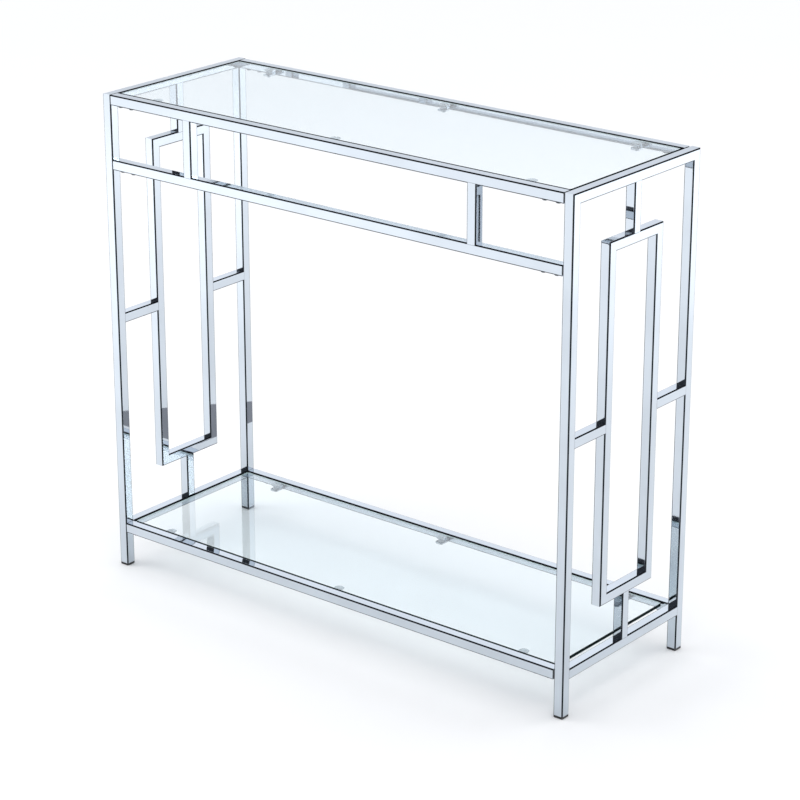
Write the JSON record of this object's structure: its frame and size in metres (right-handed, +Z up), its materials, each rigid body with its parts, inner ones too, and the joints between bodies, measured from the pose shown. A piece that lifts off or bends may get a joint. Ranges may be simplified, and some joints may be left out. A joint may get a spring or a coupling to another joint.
{
  "type": "console table",
  "caption": "Narrow console table with a slim square-tube chrome frame, clear glass top and lower shelf, and a rectangle motif in each open side.",
  "frame": {"origin": "on the floor, in the middle of the table's width and depth", "axes": "+X along the width to the right as seen from the front, +Y from the front (the side with the apron rail) to the back, +Z up"},
  "size_m": [0.86, 0.3, 0.762],
  "materials": {
    "tube_chrome": "polished chrome plate on square steel tube",
    "tab_chrome": "chrome plate on steel strip",
    "spigot_steel": "bare steel, hidden inside the rails",
    "screw_steel": "bright zinc-plated button heads",
    "pane_glass": "clear tempered glass, ground edges with a green tint",
    "cup_vinyl": "clear soft vinyl",
    "foot_plastic": "moulded black plastic"
  },
  "bodies": {
    "frame": {"apron_left_upright": "tube_chrome", "apron_rail": "tube_chrome", "apron_right_upright": "tube_chrome", "front_top_rail": "tube_chrome", "left_front_foot": "foot_plastic", "left_front_leg": "tube_chrome", "left_front_stub": "tube_chrome", "left_key_bottom_bar": "tube_chrome", "left_key_front_upright": "tube_chrome", "left_key_rear_upright": "tube_chrome", "left_key_top_bar": "tube_chrome", "left_lower_stem": "tube_chrome", "left_rail_spigots": "spigot_steel", "left_rear_foot": "foot_plastic", "left_rear_leg": "tube_chrome", "left_rear_stub": "tube_chrome", "left_shelf_rail": "tube_chrome", "left_top_rail": "tube_chrome", "left_upper_stem": "tube_chrome", "rail_screws": "screw_steel", "rear_top_rail": "tube_chrome", "right_front_foot": "foot_plastic", "right_front_leg": "tube_chrome", "right_front_stub": "tube_chrome", "right_key_bottom_bar": "tube_chrome", "right_key_front_upright": "tube_chrome", "right_key_rear_upright": "tube_chrome", "right_key_top_bar": "tube_chrome", "right_lower_stem": "tube_chrome", "right_rail_spigots": "spigot_steel", "right_rear_foot": "foot_plastic", "right_rear_leg": "tube_chrome", "right_rear_stub": "tube_chrome", "right_shelf_rail": "tube_chrome", "right_top_rail": "tube_chrome", "right_upper_stem": "tube_chrome", "shelf_front_rail": "tube_chrome", "shelf_glass_cups": "cup_vinyl", "shelf_glass_tabs": "tab_chrome", "shelf_rear_rail": "tube_chrome", "top_glass_cups": "cup_vinyl", "top_glass_tabs": "tab_chrome"},
    "top_pane": {"top_glass": "pane_glass"},
    "shelf_pane": {"shelf_glass": "pane_glass"}
  },
  "joints": [
    {"name": "top_pane_lift", "type": "slide", "parent": "frame", "child": "top_pane", "axis": [0, 0, 1], "range_m": [0, 0.06]},
    {"name": "shelf_pane_lift", "type": "slide", "parent": "frame", "child": "shelf_pane", "axis": [0, 0, 1], "range_m": [0, 0.06]}
  ]
}
